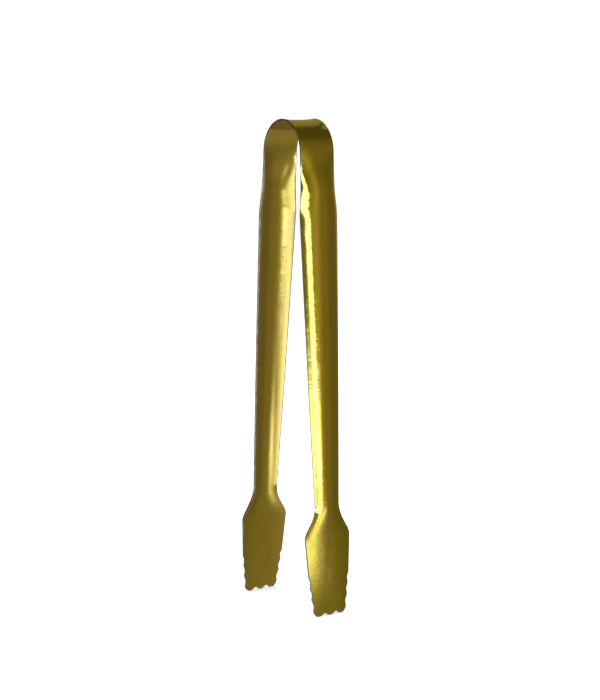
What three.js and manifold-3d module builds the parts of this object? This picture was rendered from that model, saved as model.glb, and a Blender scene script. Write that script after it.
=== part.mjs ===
// One-piece ice tongs: a springy metal strip bent into a bow, pressed into a shallow trough down
// each arm, and flattened into a scalloped blade at each end.
//
// Millimetres, +Z up. X is the way the arms open, Y runs across the strip. The tongs stand on the
// tips of their blades, and the origin is on the ground midway between the tips.
//
// The real strip has no seams. It is divided here where it bends or changes its section, so that
// the arms can turn about the bow: the crown of the bow, the two sides of the bow, the two arms
// and the two blades. A narrow saw cut separates each from the next.

import * as THREE from 'three';
import { mergeVertices } from 'three/addons/utils/BufferGeometryUtils.js';
import Module from 'manifold-3d';

const wasm = await Module();
wasm.setup();

// ---- Driving dimensions -------------------------------------------------------------------

const CROWN_HEIGHT = 178;       // middle of the strip's thickness, at the crown's edges
const THICKNESS = 0.8;
const CUT = 0.3;                // saw cut between one zone of the strip and the next

// The bends of one half of the bow, from the crown down. A negative radius bends outward.
const BENDS = [
  { radius: 9.95, turn: 28.8 },   // crown
  { radius: 11.4, turn: 57.5 },   // side of the bow
  { radius: 36.0, turn: 4.8 },    // eases past the vertical
  { radius: -60.0, turn: -4.7 },  // turns back out, and leaves the arm 3.6 degrees off the vertical
];

// Half widths of the strip, and how far below the crown each is reached.
const BOW_HALF_WIDTH = 7.45;
const ARM_HALF_WIDTH = 8.25;
const NECK_HALF_WIDTH = 5.38;
const WIDENING_START = 23;
const WIDENING_END = 34;
const NECK_DROP = 137.4;
const TAPER_BULGE = 0.17;       // how far the arm's edge bows out of a straight taper

// The section: how far the middle of the strip stands out from its two edges.
const CROWN_DISH = -0.45;       // the crown's edges turn up, so its middle lies low
const TROUGH_DEPTH = 3.0;       // just below the bow
const NECK_DEPTH = 1.5;
const BLADE_DEPTH = 0.5;
const SECTION_POWER = 3;        // of the section's curve: higher is flatter, with steeper flanks
const DISH_LENGTH = 12;         // along the strip from the crown, until the dish has gone
const TROUGH_START = 13.5;      // along the strip from the crown
const TROUGH_LENGTH = 18.5;     // until the trough has its full depth
const BLADE_FLAT_DROP = 151;    // the blade keeps one section from here to its tips

// The outline of a blade, as distances below the crown and out from the middle of the strip.
const NECK_RADIUS = 12;
const SHOULDER_RADIUS = 5;
const SHOULDER_HALF_WIDTH = 10.1;
const SHOULDER_DROP = 149.8;
const LOBE_RADIUS = 2.4;
const TIP_LOBE_PITCH = 4.95;    // three lobes across the tip
const SIDE_LOBE_PITCH = 4.2;    // three lobes up each side
const SIDE_LOBE_RISE = [0.16, 0.13, 0.14];  // how far each side lobe stands out, per mm of rise
const TIP_NOTCH_RADIUS = 1.4;
const SIDE_NOTCH_RADIUS = 3.0;

// Where the strip is divided.
const BOW_CUT_TURN = 52;       // degrees round the bow from the crown
const ARM_TOP_DROP = 34;

// How finely the faces are divided.
const BOW_STEP = 1.4;
const ARM_STEP = 7;
const STRIP_ACROSS = [-1, -0.87, -0.72, -0.54, -0.3, 0, 0.3, 0.54, 0.72, 0.87, 1];  // of its half width
const BLADE_ACROSS = [-1, -0.82, -0.62, -0.42, -0.2, 0.2, 0.42, 0.62, 0.82, 1];
const ARC_SEGMENTS = 4;

const GOLD = new THREE.Color(0xcda23a);

// ---- The strip's path ---------------------------------------------------------------------

const rad = THREE.MathUtils.degToRad;
const smooth = THREE.MathUtils.smoothstep;
const lerp = THREE.MathUtils.lerp;

// The point at a length along the strip from the crown, and how far the strip has turned there.
function pathAt(length) {
  const point = new THREE.Vector2(0, CROWN_HEIGHT);
  let turned = 0;
  let left = length;
  for (const { radius, turn } of BENDS) {
    const arc = radius * rad(turn);
    const part = Math.min(left, arc);
    const next = turned + part / radius;
    point.x += radius * (Math.sin(next) - Math.sin(turned));
    point.y -= radius * (Math.cos(turned) - Math.cos(next));
    turned = next;
    left -= part;
    if (left <= 0) {
      break;
    }
  }
  point.x += left * Math.cos(turned);
  point.y -= left * Math.sin(turned);
  return { x: point.x, z: point.y, turned };
}

const BOW_LENGTH = BENDS.reduce((sum, bend) => sum + bend.radius * rad(bend.turn), 0);
const BOW_END = pathAt(BOW_LENGTH);

// The length along the strip at which it has dropped so far below the crown, on the straight arm.
function lengthAtDrop(drop) {
  return BOW_LENGTH + (drop - (CROWN_HEIGHT - BOW_END.z)) / Math.sin(BOW_END.turned);
}

// The length along the strip at which the bow has turned through so many degrees.
function lengthAtTurn(degrees) {
  const crown = BENDS[0];
  const side = BENDS[1];
  return crown.radius * rad(crown.turn) + side.radius * rad(degrees - crown.turn);
}

// ---- The strip's width and section --------------------------------------------------------

function widthAtDrop(drop) {
  if (drop < WIDENING_END) {
    return lerp(BOW_HALF_WIDTH, ARM_HALF_WIDTH, smooth(drop, WIDENING_START, WIDENING_END));
  }
  const along = (drop - WIDENING_END) / (NECK_DROP - WIDENING_END);
  return lerp(ARM_HALF_WIDTH, NECK_HALF_WIDTH, along) + 4 * TAPER_BULGE * along * (1 - along);
}

function depthAt(length) {
  const neck = lengthAtDrop(NECK_DROP);
  const flat = lengthAtDrop(BLADE_FLAT_DROP);
  const full = TROUGH_START + TROUGH_LENGTH;
  const dish = CROWN_DISH * (1 - smooth(length, 0, DISH_LENGTH));
  if (length < full) {
    return dish + TROUGH_DEPTH * smooth(length, TROUGH_START, full);
  }
  if (length < neck) {
    return lerp(TROUGH_DEPTH, NECK_DEPTH, (length - full) / (neck - full));
  }
  return lerp(NECK_DEPTH, BLADE_DEPTH, smooth(length, neck, flat));
}

// A point of the strip's middle surface, at a length along the strip from the crown: the left half
// has negative lengths. The section is a power curve through two edges, halfWidth from the middle.
function middleSurface(length, across, halfWidth) {
  const side = length < 0 ? -1 : 1;
  const { x, z, turned } = pathAt(Math.abs(length));
  const out = depthAt(Math.abs(length)) * (1 - Math.abs(across / halfWidth) ** SECTION_POWER);
  return new THREE.Vector3(side * (x + out * Math.sin(turned)), across, z + out * Math.cos(turned));
}

// ---- Solids -------------------------------------------------------------------------------

// A closed sheet of the strip's thickness, over a grid of lengths and of places across the strip.
// edge(length) is how far from the middle the sheet reaches, and section(length) is the half
// width at which the strip's section has its two edges.
function sheet(lengths, acrosses, edge, section) {
  const step = 0.02;
  const at = (length, u) => middleSurface(length, u * edge(length), section(length));
  const outer = [];
  const inner = [];
  for (const length of lengths) {
    for (const u of acrosses) {
      const along = at(length + step, u).sub(at(length - step, u));
      const acrossways = at(length, u + step).sub(at(length, u - step));
      const normal = along.cross(acrossways).normalize();
      const point = at(length, u);
      outer.push(point.clone().addScaledVector(normal, THICKNESS / 2));
      inner.push(point.addScaledVector(normal, -THICKNESS / 2));
    }
  }
  const columns = acrosses.length;
  const endRow = lengths.length - 1;
  const endColumn = columns - 1;
  const top = (i, j) => i * columns + j;
  const under = (i, j) => outer.length + top(i, j);
  const triangles = [];
  const quad = (a, b, c, d) => triangles.push(a, b, c, a, c, d);
  for (let i = 0; i < endRow; i++) {
    for (let j = 0; j < endColumn; j++) {
      quad(top(i, j), top(i + 1, j), top(i + 1, j + 1), top(i, j + 1));
      quad(under(i, j), under(i, j + 1), under(i + 1, j + 1), under(i + 1, j));
    }
    quad(top(i, 0), under(i, 0), under(i + 1, 0), top(i + 1, 0));
    quad(top(i, endColumn), top(i + 1, endColumn), under(i + 1, endColumn), under(i, endColumn));
  }
  for (let j = 0; j < endColumn; j++) {
    quad(top(0, j), top(0, j + 1), under(0, j + 1), under(0, j));
    quad(top(endRow, j), under(endRow, j), under(endRow, j + 1), top(endRow, j + 1));
  }
  const geometry = new THREE.BufferGeometry().setFromPoints([...outer, ...inner]);
  geometry.setIndex(triangles);
  return geometry;
}

function toManifold(geometry) {
  const bare = geometry.clone();
  bare.deleteAttribute('normal');
  bare.deleteAttribute('uv');
  const merged = mergeVertices(bare, 1e-4);
  return new wasm.Manifold(new wasm.Mesh({
    numProp: 3,
    vertProperties: Float32Array.from(merged.attributes.position.array),
    triVerts: Uint32Array.from(merged.index.array),
  }));
}

function fromManifold(solid) {
  const mesh = solid.getMesh();
  const geometry = new THREE.BufferGeometry();
  geometry.setAttribute('position', new THREE.BufferAttribute(mesh.vertProperties, 3));
  geometry.setIndex(new THREE.BufferAttribute(mesh.triVerts, 1));
  return geometry;
}

// The same solid on the other side of the tongs.
function mirrored(geometry) {
  const copy = geometry.clone();
  copy.scale(-1, 1, 1);
  const index = Array.from(copy.index.array);
  for (let i = 0; i < index.length; i += 3) {
    [index[i], index[i + 1]] = [index[i + 1], index[i]];
  }
  copy.setIndex(index);
  return copy;
}

// Evenly spaced numbers from first to last, no further apart than step.
function range(first, last, step) {
  const count = Math.ceil(Math.abs(last - first) / step);
  return Array.from({ length: count + 1 }, (_, i) => lerp(first, last, i / count));
}

// ---- The outline of a blade ---------------------------------------------------------------

// Circles that the outline runs round, from the neck down one side to the middle lobe of the tip.
// y is out from the middle, z is up. A negative radius is a hollow.
function outlineCircles() {
  const at = (y, drop, radius) => ({ centre: new THREE.Vector2(y, CROWN_HEIGHT - drop), radius });
  const neck = at(NECK_HALF_WIDTH + NECK_RADIUS, NECK_DROP, -NECK_RADIUS);
  const shoulder = at(SHOULDER_HALF_WIDTH - SHOULDER_RADIUS, SHOULDER_DROP, SHOULDER_RADIUS);
  const middle = { centre: new THREE.Vector2(0, LOBE_RADIUS), radius: LOBE_RADIUS };
  const corner = { centre: new THREE.Vector2(TIP_LOBE_PITCH, LOBE_RADIUS), radius: LOBE_RADIUS };
  const side = [corner];
  for (const slope of SIDE_LOBE_RISE) {
    const below = side[0].centre;
    const centre = new THREE.Vector2(below.x + slope * SIDE_LOBE_PITCH, below.y + SIDE_LOBE_PITCH);
    side.unshift({ centre, radius: LOBE_RADIUS });
  }
  const circles = [neck, shoulder, side[0]];
  for (let i = 1; i < side.length; i++) {
    circles.push(notch(side[i - 1], side[i], SIDE_NOTCH_RADIUS), side[i]);
  }
  circles.push(notch(corner, middle, TIP_NOTCH_RADIUS), middle);
  return circles;
}

// The hollow that touches two lobes of one radius, outside them.
function notch(above, below, radius) {
  const gap = below.centre.clone().sub(above.centre);
  const reach = above.radius + radius;
  const out = Math.sqrt(reach ** 2 - (gap.length() / 2) ** 2);
  const outward = new THREE.Vector2(-gap.y, gap.x).normalize();
  const centre = above.centre.clone().addScaledVector(gap, 0.5).addScaledVector(outward, out);
  return { centre, radius: -radius };
}

// The direction of the outward normal of the line that touches two circles of the outline.
function tangentNormal(first, second) {
  const gap = second.centre.clone().sub(first.centre);
  const spread = Math.acos(THREE.MathUtils.clamp((first.radius - second.radius) / gap.length(), -1, 1));
  return gap.angle() + spread;
}

function bladeOutline() {
  const half = outlineCircles();
  const mirror = ({ centre, radius }) => ({ centre: new THREE.Vector2(-centre.x, centre.y), radius });
  const circles = [...half, ...half.slice(0, -1).reverse().map(mirror)];
  const shape = new THREE.Shape();
  let from = 0;
  circles.forEach((circle, i) => {
    const next = circles[i + 1];
    const to = next ? tangentNormal(circle, next) : Math.PI;
    const flip = circle.radius < 0 ? Math.PI : 0;
    const { x, y } = circle.centre;
    shape.absarc(x, y, Math.abs(circle.radius), from + flip, to + flip, circle.radius > 0);
    from = to;
  });
  return shape;
}

// ---- Zones of the strip -------------------------------------------------------------------

const BOW_CUT = lengthAtTurn(BOW_CUT_TURN);
const ARM_CUT = lengthAtDrop(ARM_TOP_DROP);
const NECK_CUT = lengthAtDrop(NECK_DROP);
const BLADE_FLAT = lengthAtDrop(BLADE_FLAT_DROP);

// A zone of the strip between two lengths, with half a saw cut off each end.
function zone(from, to, step) {
  const lengths = range(from + CUT / 2, to - CUT / 2, step);
  return sheet(lengths, STRIP_ACROSS, halfWidthAt, halfWidthAt);
}

function halfWidthAt(length) {
  return widthAtDrop(CROWN_HEIGHT - pathAt(Math.abs(length)).z);
}

// A blade is a wide sheet with the section of the strip, trimmed to the blade's outline.
function blade() {
  const past = lengthAtDrop(CROWN_HEIGHT + 2);
  const lengths = [...range(NECK_CUT + CUT / 2, BLADE_FLAT, 1.4), past];
  const shoulder = (length) => smooth(length, NECK_CUT, BLADE_FLAT);
  const section = (length) => lerp(NECK_HALF_WIDTH, SHOULDER_HALF_WIDTH, shoulder(length));
  const wide = sheet(lengths, BLADE_ACROSS, () => SHOULDER_HALF_WIDTH + 1, section);
  const prism = new THREE.ExtrudeGeometry(bladeOutline(), {
    depth: 2 * pathAt(past).x,
    bevelEnabled: false,
    curveSegments: ARC_SEGMENTS,
  });
  // The outline's x lies along Y and its y along Z, so that the extrusion runs along X.
  prism.applyMatrix4(new THREE.Matrix4().set(0, 0, 1, 0, 1, 0, 0, 0, 0, 1, 0, 0, 0, 0, 0, 1));
  return fromManifold(toManifold(wide).intersect(toManifold(prism)));
}

// ---- The tongs ----------------------------------------------------------------------------

function piece(name, geometry) {
  const finish = new THREE.MeshStandardMaterial({ color: GOLD, metalness: 1, roughness: 0.3 });
  const mesh = new THREE.Mesh(geometry, finish);
  mesh.name = name;
  return mesh;
}

const halves = {
  bow_side: zone(BOW_CUT, ARM_CUT, BOW_STEP),
  arm: zone(ARM_CUT, NECK_CUT, ARM_STEP),
  blade: blade(),
};

const tongs = new THREE.Group();
tongs.add(piece('bow_crown', zone(-BOW_CUT, BOW_CUT, BOW_STEP)));
for (const [name, geometry] of Object.entries(halves)) {
  tongs.add(piece(`right_${name}`, geometry));
  tongs.add(piece(`left_${name}`, mirrored(geometry)));
}

export default tongs;
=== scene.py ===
"""Looks for the one-piece ice tongs: a satin gold skin over each zone of the strip, in a studio.

The strip is built once as a grid over its unrolled outline, then wrapped on the bow, the troughed
arms and the scalloped blades. Each piece is a run of that grid's rows, so neighbours share their
edge points and their normals, and no seam shows. Lengths are in metres.
"""

import math

import bpy
import numpy as np
from mathutils import Matrix, Vector


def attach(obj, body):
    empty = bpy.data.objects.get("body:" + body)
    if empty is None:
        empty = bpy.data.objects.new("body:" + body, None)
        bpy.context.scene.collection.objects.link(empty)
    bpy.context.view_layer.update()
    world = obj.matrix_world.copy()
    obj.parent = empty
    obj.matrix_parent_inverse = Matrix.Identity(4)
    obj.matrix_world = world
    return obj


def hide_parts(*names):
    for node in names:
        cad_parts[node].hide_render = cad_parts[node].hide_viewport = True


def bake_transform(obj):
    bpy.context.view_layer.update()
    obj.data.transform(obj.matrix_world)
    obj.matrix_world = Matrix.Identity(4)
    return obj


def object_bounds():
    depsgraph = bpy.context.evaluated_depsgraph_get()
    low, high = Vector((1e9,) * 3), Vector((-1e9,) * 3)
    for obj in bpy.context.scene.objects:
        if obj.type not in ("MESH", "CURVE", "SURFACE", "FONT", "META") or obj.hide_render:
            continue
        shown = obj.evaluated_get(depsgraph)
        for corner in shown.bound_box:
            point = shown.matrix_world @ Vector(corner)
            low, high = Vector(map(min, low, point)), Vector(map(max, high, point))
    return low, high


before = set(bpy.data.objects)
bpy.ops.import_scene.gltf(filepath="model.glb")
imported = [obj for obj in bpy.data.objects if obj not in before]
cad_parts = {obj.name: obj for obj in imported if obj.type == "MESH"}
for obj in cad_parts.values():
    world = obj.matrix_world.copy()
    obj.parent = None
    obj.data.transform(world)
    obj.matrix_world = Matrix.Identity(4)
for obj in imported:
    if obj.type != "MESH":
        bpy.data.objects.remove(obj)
cad_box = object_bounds()

MM = 0.001
THICKNESS = 0.8 * MM
CROWN_Z = cad_box[1].z - THICKNESS / 2   # middle of the strip's thickness, at the crown's edges

# ---- Driving dimensions, as the CAD model has them ------------------------------------------

# Radius and turn in degrees of each bend of one half of the bow, from the crown down
BENDS = [(9.95 * MM, 28.8), (11.4 * MM, 57.5), (36.0 * MM, 4.8), (-60.0 * MM, -4.7)]

BOW_HALF_WIDTH = 7.45 * MM
ARM_HALF_WIDTH = 8.25 * MM
NECK_HALF_WIDTH = 5.38 * MM
WIDENING = (23 * MM, 34 * MM)            # below the crown
NECK_DROP = 137.4 * MM
TAPER_BULGE = 0.17 * MM

CROWN_DISH = -0.45 * MM
DISH_LENGTH = 12 * MM
TROUGH_START = 13.5 * MM                 # along the strip
TROUGH_LENGTH = 18.5 * MM
TROUGH_DEPTH = 3.0 * MM
NECK_DEPTH = 1.5 * MM
BLADE_DEPTH = 0.5 * MM
SECTION_POWER = 3                        # a higher power is flatter, with steeper flanks
BLADE_FLAT_DROP = 151 * MM

NECK_RADIUS = 12 * MM
SHOULDER_RADIUS = 5 * MM
SHOULDER_HALF_WIDTH = 10.1 * MM
SHOULDER_DROP = 149.8 * MM
LOBE_RADIUS = 2.4 * MM
TIP_LOBE_PITCH = 4.95 * MM
SIDE_LOBE_PITCH = 4.2 * MM
SIDE_LOBE_SLOPES = (0.16, 0.13, 0.14)    # outward per length up the side, from the corner lobe up
TIP_NOTCH_RADIUS = 1.4 * MM
SIDE_NOTCH_RADIUS = 3.0 * MM

ARM_TOP_DROP = 34 * MM                   # where the bow's skin meets the arm's

# ---- The skin's own sizes -------------------------------------------------------------------

EDGE_ROUNDING = 0.17 * MM                # radius rubbed onto the strip's two edges
ROUNDING_STEPS = 5
COLUMNS = 64
BEND_ROWS = 0.4 * MM                     # spacing of the rows in the bow and round the neck
ARM_ROWS = 1.0 * MM
TIP_ROWS = 0.2 * MM
SCALLOP_REACH = 7 * MM                   # how far up the blade the rows follow its scalloped tip
DENSE = 0.04 * MM                        # spacing of the outline's points before it is resampled
WEAR_AND_GLINT_REACH = 0.5 * MM                    # how far in from the edges the coat is paler, as rubbed coat and as a painted highlight for the glint of the edge's rounding
FLEXING = (0.8 * MM, 18 * MM)            # a stretch of each half of the bow, from and to these lengths along it

CENTIMETRE = 10 * MM                     # one unit of the UV map

# Shifts of the UV map that give the outer face, the inner face, the edge and the left half a
# pattern each, where the first two shifts are across the strip and the last is along it
INNER_UV_SHIFT = 10
EDGE_UV_SHIFT = 20
LEFT_UV_SHIFT = 30


def smoothstep(x, low, high):
    t = np.clip((np.asarray(x, float) - low) / (high - low), 0, 1)
    return t * t * (3 - 2 * t)


def lerp(a, b, t):
    return a + (b - a) * t


# ---- The strip's path, width and section ----------------------------------------------------

def path(length):
    """x, z and the turn in radians at lengths along the right half of the strip."""
    left = np.array(length, float)
    x, z, turned = np.zeros_like(left), np.full_like(left, CROWN_Z), np.zeros_like(left)
    for radius, turn in BENDS:
        part = np.clip(left, None, radius * math.radians(turn))
        after = turned + part / radius
        x += radius * (np.sin(after) - np.sin(turned))
        z -= radius * (np.cos(turned) - np.cos(after))
        turned = after
        left = left - part
    return x + left * np.cos(turned), z - left * np.sin(turned), turned


BOW_LENGTH = sum(radius * math.radians(turn) for radius, turn in BENDS)
BOW_END = [float(value) for value in path(BOW_LENGTH)]


def length_at(drop):
    """The length along the strip at a distance below the crown, on the straight arm."""
    return BOW_LENGTH + (drop - (CROWN_Z - BOW_END[1])) / math.sin(BOW_END[2])


NECK = length_at(NECK_DROP)
BLADE_FLAT = length_at(BLADE_FLAT_DROP)
ARM_TOP = length_at(ARM_TOP_DROP)


def half_width(length):
    """Half the strip's width above the neck."""
    drop = CROWN_Z - path(length)[1]
    bow = lerp(BOW_HALF_WIDTH, ARM_HALF_WIDTH, smoothstep(drop, *WIDENING))
    along = np.clip((drop - WIDENING[1]) / (NECK_DROP - WIDENING[1]), 0, 1)
    arm = lerp(ARM_HALF_WIDTH, NECK_HALF_WIDTH, along) + 4 * TAPER_BULGE * along * (1 - along)
    return np.where(drop < WIDENING[1], bow, arm)


def section_half_width(length):
    """The half width at which the section's curve meets the path."""
    blade = lerp(NECK_HALF_WIDTH, SHOULDER_HALF_WIDTH, smoothstep(length, NECK, BLADE_FLAT))
    return np.where(length < NECK, half_width(length), blade)


def depth(length):
    """How far the middle of the strip stands out from its edges."""
    full = TROUGH_START + TROUGH_LENGTH
    dish = CROWN_DISH * (1 - smoothstep(length, 0, DISH_LENGTH))
    bow = dish + TROUGH_DEPTH * smoothstep(length, TROUGH_START, full)
    arm = lerp(TROUGH_DEPTH, NECK_DEPTH, (length - full) / (NECK - full))
    blade = lerp(NECK_DEPTH, BLADE_DEPTH, smoothstep(length, NECK, BLADE_FLAT))
    return np.where(length < full, bow, np.where(length < NECK, arm, blade))


def middle(flat):
    """Points of the strip's middle surface from unrolled points (y, length)."""
    y, length = flat[..., 0], flat[..., 1]
    x, z, turned = path(np.abs(length))
    across = abs(y / section_half_width(np.abs(length)))
    out = depth(np.abs(length)) * (1 - across ** SECTION_POWER)
    x = np.where(length < 0, -1, 1) * (x + out * np.sin(turned))
    return np.stack([x, y, z + out * np.cos(turned)], -1)


def unit(vectors):
    return vectors / np.linalg.norm(vectors, axis=-1, keepdims=True)


def directions(flat):
    """Vectors along and across the strip, and the outward unit normal, at unrolled points."""
    step = 0.01 * MM
    across = middle(flat + [step, 0]) - middle(flat - [step, 0])
    along = middle(flat + [0, step]) - middle(flat - [0, step])
    return along / (2 * step), across / (2 * step), unit(np.cross(along, across))


# ---- The unrolled outline -------------------------------------------------------------------

def notch(above, below, radius):
    """The hollow circle that touches two lobes of one radius from outside the blade."""
    gap = below[0] - above[0]
    reach = above[1] + radius
    out = math.sqrt(reach ** 2 - (np.linalg.norm(gap) / 2) ** 2)
    outward = unit(np.array([-gap[1], gap[0]]))
    return above[0] + gap / 2 + outward * out, -radius


def blade_circles():
    """Centre (y, z) and radius of each round of the outline, from the neck to the tip's middle.

    A hollow's radius is negative."""
    neck = np.array([NECK_HALF_WIDTH + NECK_RADIUS, CROWN_Z - NECK_DROP]), -NECK_RADIUS
    shoulder_y = SHOULDER_HALF_WIDTH - SHOULDER_RADIUS
    shoulder = np.array([shoulder_y, CROWN_Z - SHOULDER_DROP]), SHOULDER_RADIUS
    centre = np.array([0, LOBE_RADIUS]), LOBE_RADIUS
    corner = np.array([TIP_LOBE_PITCH, LOBE_RADIUS]), LOBE_RADIUS
    side = [corner]
    for slope in SIDE_LOBE_SLOPES:
        side.insert(0, (side[0][0] + [slope * SIDE_LOBE_PITCH, SIDE_LOBE_PITCH], LOBE_RADIUS))
    circles = [neck, shoulder, side[0]]
    for above, below in zip(side, side[1:]):
        circles += [notch(above, below, SIDE_NOTCH_RADIUS), below]
    return circles + [notch(corner, centre, TIP_NOTCH_RADIUS), centre]


def tangent_normal(first, second):
    """The angle of the outward normal of the line that touches two circles of the outline."""
    gap = second[0] - first[0]
    spread = math.acos(np.clip((first[1] - second[1]) / np.linalg.norm(gap), -1, 1))
    return math.atan2(gap[1], gap[0]) + spread


def half_outline():
    """Dense unrolled points from the crown down one edge and along the tip to its middle.

    Also returns the index of the corner, where the tip's corner lobe faces 45 degrees down."""
    lengths = np.arange(0, NECK, DENSE)
    points = [np.stack([half_width(lengths), lengths], -1)]
    circles = blade_circles()
    corner_lobe, last = len(circles) - 3, len(circles) - 1
    start, corner = 0.0, None
    for i, (centre, radius) in enumerate(circles):
        end = -math.pi / 2 if i == last else tangent_normal((centre, radius), circles[i + 1])
        end = math.remainder(end, 2 * math.pi)
        count = max(2, math.ceil(abs(radius * (end - start)) / DENSE))
        angles = np.linspace(start, end, count + 1)
        arc = centre + radius * np.stack([np.cos(angles), np.sin(angles)], -1)
        if i == corner_lobe:
            corner = sum(map(len, points)) + int(np.argmin(abs(angles + math.pi / 4)))
        points.append(np.stack([arc[:, 0], length_at(CROWN_Z - arc[:, 1])], -1))
        start = end
    return np.concatenate(points), corner


def resample(line, marks):
    """Points of a polyline at lengths along it."""
    steps = np.linalg.norm(np.diff(line, axis=0), axis=1)
    along = np.concatenate([[0], np.cumsum(steps)])
    return np.stack([np.interp(marks, along, line[:, k]) for k in (0, 1)], -1)


def total(line):
    return float(np.linalg.norm(np.diff(line, axis=0), axis=1).sum())


def row_marks(side):
    """Lengths down the strip's edge at which the grid has its rows: close where it bends most."""
    runs = [
        (BOW_LENGTH + 12 * MM, BEND_ROWS),
        (NECK - 2 * MM, ARM_ROWS),
        (NECK + 18 * MM, BEND_ROWS),
        (total(side), TIP_ROWS),
    ]
    marks = [0.0]
    for end, step in runs:
        count = math.ceil((end - marks[-1]) / step)
        marks += list(np.linspace(marks[-1], end, count + 1)[1:])
    return np.array(sorted(set(marks + [ARM_TOP, NECK])))


def outward_flat(line):
    """Outward unit normals of the unrolled outline, which runs down the right edge first."""
    run = unit(np.gradient(line, axis=0))
    return np.stack([run[:, 1], -run[:, 0]], -1)


def unrolled_grid():
    """The rows and columns of the face inside the rounded edge, and the outline round it.

    Returns the face's points, the outline's points and outward normals, and the count of rows. The
    outline runs down the right edge, along the tip to the left and up the left edge."""
    dense, corner = half_outline()
    side, tip = dense[: corner + 1], dense[corner:]
    marks = row_marks(side)
    right = resample(side, marks)
    full_tip = np.concatenate([tip, tip[-2::-1] * [-1, 1]])
    bottom = resample(full_tip, np.linspace(0, total(full_tip), COLUMNS + 1))
    loop = np.concatenate([right, bottom[1:-1], right[::-1] * [-1, 1]])
    normals = outward_flat(loop)
    normals[0], normals[-1] = (1, 0), (-1, 0)   # the two halves meet straight at the crown
    inset = loop - normals * EDGE_ROUNDING
    rows = len(right)
    right_in, left_in = inset[:rows], inset[: -rows - 1 : -1]
    bottom_in = inset[rows - 1 : rows + COLUMNS]
    u = np.linspace(0, 1, COLUMNS + 1)[None, :, None]
    straight = lerp(right_in[:, None], left_in[:, None], u)
    waves = bottom_in - lerp(bottom_in[0], bottom_in[-1], u[0])
    fade = smoothstep(marks, marks[-1] - SCALLOP_REACH, marks[-1])[:, None, None]
    return straight + fade * waves, loop, normals, rows


# ---- Wrapping the grid on the strip ---------------------------------------------------------

def rim_profile():
    """Insets from the outline, heights off the middle surface, and turns of the normal.

    Each has a value for every line of points round the strip's edge, from outer to inner face."""
    turns = np.linspace(0, math.pi / 2, ROUNDING_STEPS + 1)
    inset = EDGE_ROUNDING * (1 - np.sin(turns))
    height = THICKNESS / 2 - EDGE_ROUNDING * (1 - np.cos(turns))
    return (
        np.concatenate([inset, inset[::-1]]),
        np.concatenate([height, -height[::-1]]),
        np.concatenate([turns, math.pi - turns[::-1]]),
    )


def wrap(flat, heights, normal_turns, edges_out):
    """Points and normals of the skin at unrolled points, at heights off the middle surface."""
    along, across, out = directions(flat)
    sideways = unit(along * edges_out[..., 1:] + across * edges_out[..., :1])
    turn = normal_turns[..., None]
    points = middle(flat) + out * heights[..., None]
    return points, out * np.cos(turn) + sideways * np.sin(turn)


# ---- Pieces of the skin ---------------------------------------------------------------------

OUTER_SLOT, EDGE_SLOT, INNER_SLOT = 0, 1, 2


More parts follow.
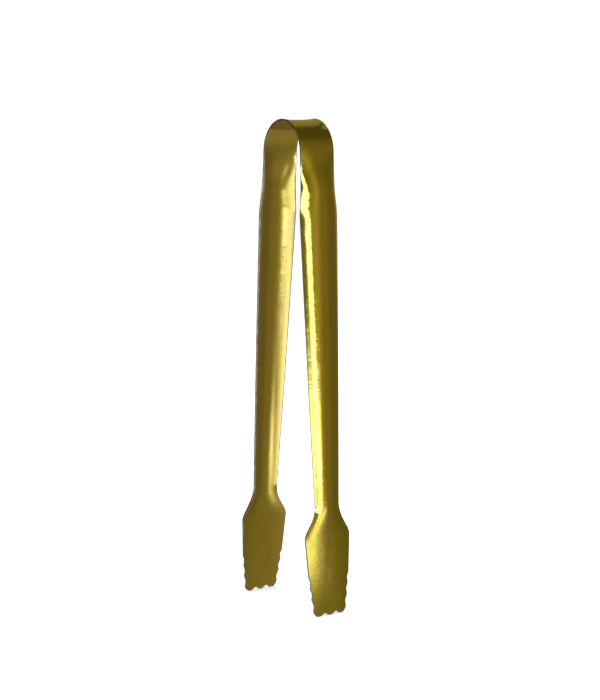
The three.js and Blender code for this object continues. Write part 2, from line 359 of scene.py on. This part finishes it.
class Skin:
    """The right half of the strip: points with normals, and quads that know their row."""

    def __init__(self):
        face, loop, edge_out, self.rows = unrolled_grid()
        inset, height, turns = rim_profile()
        shape = face.shape[:2]
        sideways = np.broadcast_to([1.0, 0.0], face.shape)
        outer = wrap(face, np.full(shape, THICKNESS / 2), np.zeros(shape), sideways)
        inner = wrap(face, np.full(shape, -THICKNESS / 2), np.full(shape, math.pi), sideways)
        # the rim's first and last lines are the borders of the two faces
        rim_flat = loop[:, None] - edge_out[:, None] * inset[None, 1:-1, None]
        rim_shape = rim_flat.shape[:2]
        rim = wrap(
            rim_flat,
            np.broadcast_to(height[1:-1], rim_shape),
            np.broadcast_to(turns[1:-1], rim_shape),
            np.broadcast_to(edge_out[:, None], rim_flat.shape),
        )
        self.points = np.concatenate([part[0].reshape(-1, 3) for part in (outer, inner, rim)])
        self.normals = np.concatenate([part[1].reshape(-1, 3) for part in (outer, inner, rim)])
        self.marks = face[:, 0, 1]
        self.flat = np.concatenate([part.reshape(-1, 2) for part in (face, face, rim_flat)])
        self.near_edge = self.edge_nearness(face, loop, rim_shape)
        self.number(shape, rim_shape, loop, height)

    def edge_nearness(self, face, loop, rim_shape):
        """1 at the strip's edges, falling to 0 some way in."""
        edge_y = np.interp(face[..., 1], loop[: self.rows, 1], loop[: self.rows, 0])
        inward = np.minimum(edge_y - abs(face[..., 0]), face[-1:, :, 1] - face[..., 1])
        near = np.exp(-np.clip(inward, 0, None) / WEAR_AND_GLINT_REACH).ravel()
        return np.concatenate([near, near, np.ones(rim_shape[0] * rim_shape[1])])

    def number(self, shape, rim_shape, loop, height):
        """Number the points of the two faces and of the rim, and give each rim quad its row."""
        count = shape[0] * shape[1]
        self.outer = np.arange(count).reshape(shape)
        self.inner = self.outer + count
        border = np.concatenate([
            np.stack([np.arange(self.rows), np.zeros(self.rows, int)], -1),
            np.stack([np.full(COLUMNS - 1, self.rows - 1), np.arange(1, COLUMNS)], -1),
            np.stack([np.arange(self.rows)[::-1], np.full(self.rows, COLUMNS)], -1),
        ])
        between = 2 * count + np.arange(rim_shape[0] * rim_shape[1]).reshape(rim_shape)
        first = self.outer[border[:, 0], border[:, 1]][:, None]
        last = self.inner[border[:, 0], border[:, 1]][:, None]
        self.rim = np.concatenate([first, between, last], 1)
        self.rim_row = np.minimum(border[:-1, 0], border[1:, 0])
        self.rim_row[self.rows - 1 : self.rows - 1 + COLUMNS] = self.rows - 2
        steps = np.linalg.norm(np.diff(loop, axis=0), axis=1)
        self.round = np.concatenate([[0], np.cumsum(steps)])
        self.height = height

    def quads(self, first, last):
        """Quads of the outer face, the inner face and the rim between two rows, with their UVs."""
        o, n, r = self.outer[first : last + 1], self.inner[first : last + 1], self.rim
        outer = np.stack([o[:-1, :-1], o[:-1, 1:], o[1:, 1:], o[1:, :-1]], -1).reshape(-1, 4)
        inner = np.stack([n[:-1, :-1], n[1:, :-1], n[1:, 1:], n[:-1, 1:]], -1).reshape(-1, 4)
        rows = np.flatnonzero((self.rim_row >= first) & (self.rim_row < last))
        k, line = np.meshgrid(rows, np.arange(r.shape[1] - 1), indexing="ij")
        corners = [(k, line), (k + 1, line), (k + 1, line + 1), (k, line + 1)]
        rim = np.stack([r[i, j] for i, j in corners], -1).reshape(-1, 4)
        places = [np.stack([self.height[j] + 0 * i, self.round[i]], -1) for i, j in corners]
        rim_uv = np.stack(places, -2).reshape(-1, 4, 2) / CENTIMETRE + [EDGE_UV_SHIFT, 0]
        outer_uv = self.flat[outer] / CENTIMETRE
        inner_uv = self.flat[inner] / CENTIMETRE + [INNER_UV_SHIFT, 0]
        return [outer, inner, rim], [outer_uv, inner_uv, rim_uv]

    def cap(self, row, at_start):
        """The faces that close a cut across the strip."""
        o, n = self.outer[row], self.inner[row]
        quads = [list(q) for q in zip(o[:-1], n[:-1], n[1:], o[1:])]
        right, left = list(self.rim[row]), list(self.rim[-1 - row])
        faces = quads + [right, left[::-1]]
        return faces if at_start else [q[::-1] for q in faces]

    def row_at(self, length):
        return int(np.argmin(abs(self.marks - length)))


def corners_of(faces):
    """The point numbers of every corner of some faces, in one row."""
    return np.concatenate([np.array(face) for face in faces])


def set_slots(mesh, counts):
    """Material slots and smoothing, from the counts of outer, inner and rim faces, caps last."""
    outer, inner, rim = counts
    smooth = outer + inner + rim
    slots = np.full(len(mesh.polygons), OUTER_SLOT, np.int32)
    slots[outer : outer + inner] = INNER_SLOT
    slots[outer + inner : smooth] = EDGE_SLOT
    mesh.polygons.foreach_set("material_index", slots)
    mesh.polygons.foreach_set("use_smooth", np.arange(len(mesh.polygons)) < smooth)


def set_uvs(mesh, uvs, caps_flat, side):
    """The UV map in centimetres of unrolled strip, from the quads' UVs and the caps' places."""
    places = np.concatenate([part.reshape(-1, 2) for part in uvs])
    if side < 0:
        places = places.reshape(-1, 4, 2)[:, ::-1].reshape(-1, 2) + [0, LEFT_UV_SHIFT]
    uv = mesh.uv_layers.new(name="strip")
    corners = np.concatenate([places, caps_flat / CENTIMETRE])
    uv.data.foreach_set("uv", corners.astype(np.float32).ravel())


def set_normals(mesh, normals, first_cap):
    """The skin's own normals, so that pieces meet without a seam, with the caps left flat."""
    mesh.update()
    for polygon in mesh.polygons[first_cap:]:
        for i in polygon.loop_indices:
            normals[i] = polygon.normal
    mesh.normals_split_custom_set(normals.tolist())
    mesh.validate()


def build(name, skin, first, last, side):
    """A closed mesh of the skin's rows from first to last, on the right (1) or left (-1) side."""
    parts, uvs = skin.quads(first, last)
    quads = [list(map(int, quad)) for part in parts for quad in part]
    caps = skin.cap(first, True)
    if last < skin.rows - 1:
        caps = caps + skin.cap(last, False)
    faces = quads + [list(map(int, cap)) for cap in caps]
    if side < 0:
        faces = [face[::-1] for face in faces]
    corners = corners_of(faces)
    used = np.unique(corners)
    new = np.full(len(skin.points), -1)
    new[used] = np.arange(len(used))
    mirror = np.array([side, 1, 1])
    mesh = bpy.data.meshes.new(name)
    points = skin.points[used] * mirror
    mesh.from_pydata(points.tolist(), [], [new[face].tolist() for face in faces])
    set_slots(mesh, [len(part) for part in parts])
    set_uvs(mesh, uvs, skin.flat[corners_of(faces[len(quads):])], side)
    near = mesh.attributes.new("near_edge", "FLOAT", "POINT")
    near.data.foreach_set("value", skin.near_edge[used].astype(np.float32))
    set_normals(mesh, skin.normals[corners] * mirror, len(quads))
    piece = bpy.data.objects.new(name, mesh)
    bpy.context.scene.collection.objects.link(piece)
    return piece


# ---- Materials ------------------------------------------------------------------------------

class Nodes:
    """Short calls that add nodes to a material or to the world."""

    def __init__(self, owner, shader):
        owner.use_nodes = True
        self.owner = owner
        self.tree = owner.node_tree
        self.shader = self.tree.nodes[shader]

    def add(self, kind, inputs=(), **settings):
        node = self.tree.nodes.new(kind)
        for key, value in settings.items():
            setattr(node, key, value)
        for key, value in dict(inputs).items():
            self.put(node.inputs[key], value)
        return node

    def put(self, socket, value):
        if isinstance(value, bpy.types.NodeSocket):
            self.tree.links.new(value, socket)
        else:
            socket.default_value = value

    def stretched(self, across, along):
        """The strip's UV place, with so many repeats to the centimetre each way."""
        uv = self.add("ShaderNodeUVMap", uv_map="strip").outputs["UV"]
        node = self.add("ShaderNodeMapping", {"Vector": uv, "Scale": (across, along, 1)})
        return node.outputs["Vector"]

    def noise(self, across, along, detail=2.0, roughness=0.5):
        place = self.stretched(across, along)
        node = self.add("ShaderNodeTexNoise", {
            "Vector": place, "Scale": 1.0, "Detail": detail, "Roughness": roughness})
        return node.outputs["Fac"]

    def ramp(self, value, low, high, to_low=0.0, to_high=1.0):
        return self.add("ShaderNodeMapRange", {
            "Value": value, "From Min": low, "From Max": high,
            "To Min": to_low, "To Max": to_high}).outputs["Result"]

    def mix(self, factor, a, b):
        """A mix of two colours, whose sockets share their names with those of other types."""
        node = self.add("ShaderNodeMix", data_type="RGBA")
        self.put(node.inputs[0], factor)
        self.put(node.inputs[6], a)
        self.put(node.inputs[7], b)
        return node.outputs[2]

    def math(self, operation, a, b=0.0):
        node = self.add("ShaderNodeMath", operation=operation)
        self.put(node.inputs[0], a)
        self.put(node.inputs[1], b)
        return node.outputs["Value"]

    def vector_math(self, operation, inputs):
        return self.add("ShaderNodeVectorMath", inputs, operation=operation).outputs["Vector"]

    def attribute(self, name):
        return self.add("ShaderNodeAttribute", attribute_name=name).outputs["Fac"]

    def bump(self, height, strength, distance, normal=None):
        node = self.add("ShaderNodeBump", {
            "Height": height, "Strength": strength, "Distance": distance})
        if normal is not None:
            self.put(node.inputs["Normal"], normal)
        return node.outputs["Normal"]


# The coat's main colour, a browner one and a greener one
OUTER_GOLDS = (0.82, 0.575, 0.070, 1), (0.82, 0.535, 0.075, 1), (0.76, 0.61, 0.050, 1)
INNER_GOLDS = (0.82, 0.575, 0.100, 1), (0.82, 0.540, 0.115, 1), (0.78, 0.60, 0.085, 1)
RUBBED_GOLD_AND_GLINT = (0.85, 0.68, 0.24, 1)         # where the coat is rubbed, and a painted highlight for the glint along the edges
# Painted shade: the edge's two colours are darker than the coat's so that the rim shows as a dark
# line.
SHADED_EDGE = (0.25, 0.185, 0.085, 1)
RUBBED_SHADED_EDGE = (0.50, 0.39, 0.18, 1)
PAPER = (0.86, 0.86, 0.85, 1)

# Repeats to the centimetre across and along, detail, roughness, strength and height of each bump
GOLD_BUMPS = [
    (1.6, 0.5, 2, 0.5, 0.3, 0.12 * MM),   # long low waves
    (2.4, 2.0, 2, 0.5, 0.3, 0.14 * MM),   # dents
    (6, 10, 4, 0.6, 0.3, 0.06 * MM),      # crosswise ripples
    (20, 45, 3, 0.6, 0.2, 0.02 * MM),     # crosswise scratches
]


def metal(name):
    n = Nodes(bpy.data.materials.new(name), "Principled BSDF")
    n.shader.inputs["Metallic"].default_value = 1.0
    return n


def satin_gold(name, golds, smooth, dull):
    """A coated face: satin, finely grained, browner and greener in patches, and paler near its
    edges, where the coat is rubbed and a painted highlight stands for the glint of the edge's
    rounding.

    Its roughness wanders between smooth and dull."""
    gold, brown_gold, green_gold = golds
    n = metal(name)
    clouds = n.ramp(n.noise(0.9, 0.45, detail=3), 0.35, 0.65)
    tint = n.ramp(n.noise(1.7, 0.35, detail=2), 0.40, 0.62)
    colour = n.mix(clouds, gold, brown_gold)
    colour = n.mix(tint, colour, green_gold)
    # Painted highlight: the paler band along the edges stands for the glint of the edge's
    # rounding, as well as for rubbed coat.
    worn_and_glint = n.math("MULTIPLY", n.attribute("near_edge"), n.ramp(n.noise(9, 4, detail=4), 0.35, 0.7))
    colour = n.mix(worn_and_glint, colour, RUBBED_GOLD_AND_GLINT)
    n.put(n.shader.inputs["Base Color"], colour)
    smears = n.ramp(n.noise(2.2, 0.7, detail=4, roughness=0.6), 0.3, 0.7, smooth, dull)
    grain = n.ramp(n.noise(55, 40, detail=2), 0.3, 0.7, -0.02, 0.02)
    n.put(n.shader.inputs["Roughness"], n.math("ADD", smears, grain))
    normal = None
    for across, along, detail, roughness, strength, height in GOLD_BUMPS:
        normal = n.bump(n.noise(across, along, detail, roughness), strength, height, normal)
    n.put(n.shader.inputs["Normal"], normal)
    return n.owner


def shaded_rubbed_edge():
    """The sheared edge: dull, its colour darkened as painted shade so the rim shows as a dark
    line, rubbed paler in places, with fine lines across it.
    """
    n = metal("shaded_rubbed_edge")
    patches = n.ramp(n.noise(8, 3, detail=4), 0.35, 0.65)
    n.put(n.shader.inputs["Base Color"], n.mix(patches, SHADED_EDGE, RUBBED_SHADED_EDGE))
    n.put(n.shader.inputs["Roughness"], n.ramp(n.noise(20, 12, detail=3), 0.3, 0.7, 0.30, 0.46))
    lines = n.noise(4, 60, detail=2)
    n.put(n.shader.inputs["Normal"], n.bump(lines, 0.12, 0.012 * MM))
    return n.owner


def pale_paper():
    """The floor: matt, and very faintly mottled."""
    n = Nodes(bpy.data.materials.new("pale_paper"), "Principled BSDF")
    mottle = n.add("ShaderNodeTexNoise", {"Scale": 6.0, "Detail": 3.0}).outputs["Fac"]
    shade = tuple(part * 0.985 for part in PAPER[:3]) + (1,)
    n.put(n.shader.inputs["Base Color"], n.mix(mottle, PAPER, shade))
    n.shader.inputs["Roughness"].default_value = 0.9
    return n.owner


# ---- The tongs ------------------------------------------------------------------------------

def make_tongs():
    """Bow, arm and blade on each side. They don't reflect themselves: the photograph shows no sign
    of one arm in the other."""
    skin = Skin()
    arm_row, neck_row = skin.row_at(ARM_TOP), skin.row_at(NECK)
    outer = satin_gold("outer_gold", OUTER_GOLDS, smooth=0.065, dull=0.105)
    inner = satin_gold("inner_gold", INNER_GOLDS, smooth=0.14, dull=0.19)
    edge = shaded_rubbed_edge()
    for word, side in (("right", 1), ("left", -1)):
        body = f"{word}_arm"
        bow = build(f"{word}_bow_skin", skin, 0, arm_row, side)
        arm = build(f"{word}_arm_skin", skin, arm_row, neck_row, side)
        blade = build(f"{word}_blade_skin", skin, neck_row, skin.rows - 1, side)
        ends = [path(length) for length in FLEXING]
        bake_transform(bow)
        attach(arm, body)
        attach(blade, body)
        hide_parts("bow_crown", f"{word}_bow_side")
        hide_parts(f"{word}_arm")
        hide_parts(f"{word}_blade")
        for piece in (bow, arm, blade):
            piece.visible_glossy = False
            for material in (outer, edge, inner):   # in the order of the slots
                piece.data.materials.append(material)


# ---- Studio ---------------------------------------------------------------------------------

WARM, PLAIN, PALE = (1.0, 0.95, 0.6), (1.0, 1.0, 1.0), (0.88, 1.0, 1.9)
DIM = 0.078                              # brightness of the room where no panel is

# Panels of the room's light: azimuth from, to and its softness, elevation from, to and its
# softness, lean, brightness and colour. Azimuth 0 is towards -Y and 90 towards +X. The lean is how
# far a panel's azimuth falls with each degree up.
PANELS = [
    (57, 81, 4, -8, 11, 3, 2.5, 3.2, PALE),            # tall strip light, leaning
    (62, 121, 12, -7.5, -5.2, 1.4, -2.2, 2.6, PALE),   # the strip light's foot on the bench
    (-20, 69, 58, -20, -7.6, 3, 0, 1.6, PALE),         # the bench, lit softly from the left
    (75, 122, 46, -42, 32, 14, 0, 0.17, WARM),         # wall in front
    (98, 120, 18, -7.5, 24, 8, 0, 0.08, WARM),         # a brighter stretch of it
    (-180, 180, 1, -91, 28, 44, 0, 0.065, WARM),       # haze all round, fading above the horizon
    (-60, 200, 6, -70, -26, 20, 0, 0.11, PLAIN),       # pale floor
    (-169, -75, 12, -5, 49, 7, 0, 0.17, WARM),         # wall behind
    (-180, 180, 1, 54, 91, 3, 0, 0.22, PLAIN),         # ceiling
]

# The pool of light on the floor
GLOW_PLACE = Vector((172, 50, 0.5)) * MM
GLOW_TURN = math.radians(35)
GLOW_FADE = (71 * MM, 160 * MM), (38 * MM, 36 * MM)   # half size and softness, along and across
GLOW_LEVEL = 1.3


def direction(azimuth, elevation):
    """A unit vector: azimuth 0 is towards -Y and 90 towards +X, elevation is above the horizon."""
    a, e = math.radians(azimuth), math.radians(elevation)
    return Vector((math.sin(a) * math.cos(e), -math.cos(a) * math.cos(e), math.sin(e)))


def make_camera():
    """The photograph's view: from the right and a little above the bow, with a long lens."""
    azimuth, pitch, yaw, roll = 52.44, 8.275, -0.107, 0.52   # degrees
    distance, above_crown, focal = 663.5 * MM, 13.0 * MM, 94.45
    place = distance * direction(azimuth, 0) + Vector((0, 0, CROWN_Z + above_crown))
    ahead = -direction(azimuth + yaw, 0)
    right = ahead.cross(Vector((0, 0, 1)))
    p, r = math.radians(pitch), math.radians(roll)
    forward = ahead * math.cos(p) - Vector((0, 0, math.sin(p)))
    up = right.cross(forward)
    tilted = right * math.cos(r) + up * math.sin(r)
    upright = up * math.cos(r) - right * math.sin(r)
    camera = bpy.data.objects.new("camera", bpy.data.cameras.new("camera"))
    camera.data.lens = focal
    camera.data.clip_start, camera.data.clip_end = 0.01, 20
    turn = Matrix((tilted, upright, -forward)).transposed().to_4x4()
    camera.matrix_world = Matrix.Translation(place) @ turn
    bpy.context.scene.collection.objects.link(camera)
    bpy.context.scene.camera = camera


def make_floor():
    """A pale floor that sweeps up into a backdrop all round, far enough off to stay soft.

    The metal doesn't reflect it, because the room's panels hold what the metal reflects."""
    flat_radius, sweep, rise = 1.6, 0.8, 1.6
    sides, flat_rings, sweep_rings = 96, 8, 12
    profile = [(flat_radius * k / flat_rings, 0.0) for k in range(flat_rings + 1)]
    for k in range(1, sweep_rings + 1):
        turn = math.pi / 2 * k / sweep_rings
        profile.append((flat_radius + sweep * math.sin(turn), sweep * (1 - math.cos(turn))))
    profile.append((flat_radius + sweep, sweep + rise))
    turns = [2 * math.pi * i / sides for i in range(sides)]
    points = [(0, 0, 0)]
    for radius, z in profile[1:]:
        points += [(radius * math.cos(t), radius * math.sin(t), z) for t in turns]
    faces = [(0, 1 + i, 1 + (i + 1) % sides) for i in range(sides)]
    for ring in range(len(profile) - 2):
        a, b = 1 + ring * sides, 1 + (ring + 1) * sides
        faces += [(a + i, b + i, b + (i + 1) % sides, a + (i + 1) % sides) for i in range(sides)]
    mesh = bpy.data.meshes.new("floor")
    mesh.from_pydata(points, [], faces)
    mesh.polygons.foreach_set("use_smooth", [True] * len(faces))
    mesh.materials.append(pale_paper())
    floor = bpy.data.objects.new("floor", mesh)
    floor.visible_glossy = floor.visible_shadow = False
    bpy.context.scene.collection.objects.link(floor)


def panel(n, value, low, high, soft):
    """1 where a value lies between two others, with edges that fade over the width soft."""
    edges = []
    for edge, before, after in ((low, 0.0, 1.0), (high, 1.0, 0.0)):
        node = n.add("ShaderNodeMapRange", {
            "Value": value, "From Min": edge - soft / 2, "From Max": edge + soft / 2,
            "To Min": before, "To Max": after}, interpolation_type="SMOOTHSTEP")
        edges.append(node.outputs["Result"])
    return n.math("MULTIPLY", *edges)


def make_room():
    """The studio round the tongs: dim and warm, with panels of light that the metal reflects."""
    n = Nodes(bpy.data.worlds.new("room"), "Background")
    way = n.add("ShaderNodeSeparateXYZ", {
        "Vector": n.add("ShaderNodeTexCoord").outputs["Generated"]}).outputs
    round_way = n.math("ARCTAN2", way["X"], n.math("MULTIPLY", way["Y"], -1.0))
    azimuth = n.math("MULTIPLY", round_way, 180 / math.pi)
    elevation = n.math("MULTIPLY", n.math("ARCSINE", way["Z"]), 180 / math.pi)
    dim = {axis: DIM * part for axis, part in zip("XYZ", WARM)}
    light = n.add("ShaderNodeCombineXYZ", dim).outputs[0]
    for az_low, az_high, az_soft, el_low, el_high, el_soft, lean, level, colour in PANELS:
        leaning = n.math("ADD", azimuth, n.math("MULTIPLY", elevation, lean))
        shape = n.math("MULTIPLY", panel(n, leaning, az_low, az_high, az_soft),
                       panel(n, elevation, el_low, el_high, el_soft))
        bright = [level * part for part in colour]
        glow = n.vector_math("SCALE", {0: bright, "Scale": shape})
        light = n.vector_math("ADD", {0: light, 1: glow})
    n.put(n.shader.inputs["Color"], light)
    bpy.context.scene.world = n.owner


def make_floor_glow():
    """A pool of light on the floor to the right of the tongs, which only reflections show."""
    n = Nodes(bpy.data.materials.new("floor_glow"), "Principled BSDF")
    n.tree.nodes.remove(n.shader)
    place = n.add("ShaderNodeSeparateXYZ", {
        "Vector": n.add("ShaderNodeTexCoord").outputs["Object"]}).outputs
    fade = n.math("MULTIPLY", *[panel(n, place[axis], -half, half, soft)
                                for axis, (half, soft) in zip("XY", GLOW_FADE)])
    glow = n.add("ShaderNodeEmission", {
        "Color": (*PALE, 1), "Strength": n.math("MULTIPLY", fade, GLOW_LEVEL)}).outputs[0]
    through = n.add("ShaderNodeBsdfTransparent").outputs[0]
    both = n.add("ShaderNodeAddShader", {0: glow, 1: through}).outputs[0]
    n.put(n.tree.nodes["Material Output"].inputs["Surface"], both)
    x, y = [half + soft / 2 for half, soft in GLOW_FADE]
    mesh = bpy.data.meshes.new("floor_glow")
    mesh.from_pydata([(-x, -y, 0), (x, -y, 0), (x, y, 0), (-x, y, 0)], [], [(0, 1, 2, 3)])
    mesh.materials.append(n.owner)
    card = bpy.data.objects.new("floor_glow", mesh)
    card.matrix_world = Matrix.Translation(GLOW_PLACE) @ Matrix.Rotation(GLOW_TURN, 4, "Z")
    card.visible_camera = card.visible_diffuse = card.visible_shadow = False
    bpy.context.scene.collection.objects.link(card)


def make_overhead_light():
    """One large soft light over the tongs, for the floor, which reflections don't show."""
    size, power = 2.4, 68
    azimuth, elevation, distance = 20, 80, 1.6
    aim = Vector((0, 0, CROWN_Z / 2))
    light = bpy.data.lights.new("overhead", "AREA")
    light.shape = "RECTANGLE"
    light.size, light.size_y, light.energy = size, size, power
    lamp = bpy.data.objects.new("overhead", light)
    lamp.location = aim + direction(azimuth, elevation) * distance
    lamp.rotation_mode = "QUATERNION"
    lamp.rotation_quaternion = (lamp.location - aim).to_track_quat("Z", "Y")
    lamp.visible_camera = lamp.visible_glossy = False
    bpy.context.scene.collection.objects.link(lamp)


make_camera()
make_tongs()
make_floor()
make_floor_glow()
make_room()
make_overhead_light()
bpy.context.scene.view_settings.view_transform = "Standard"
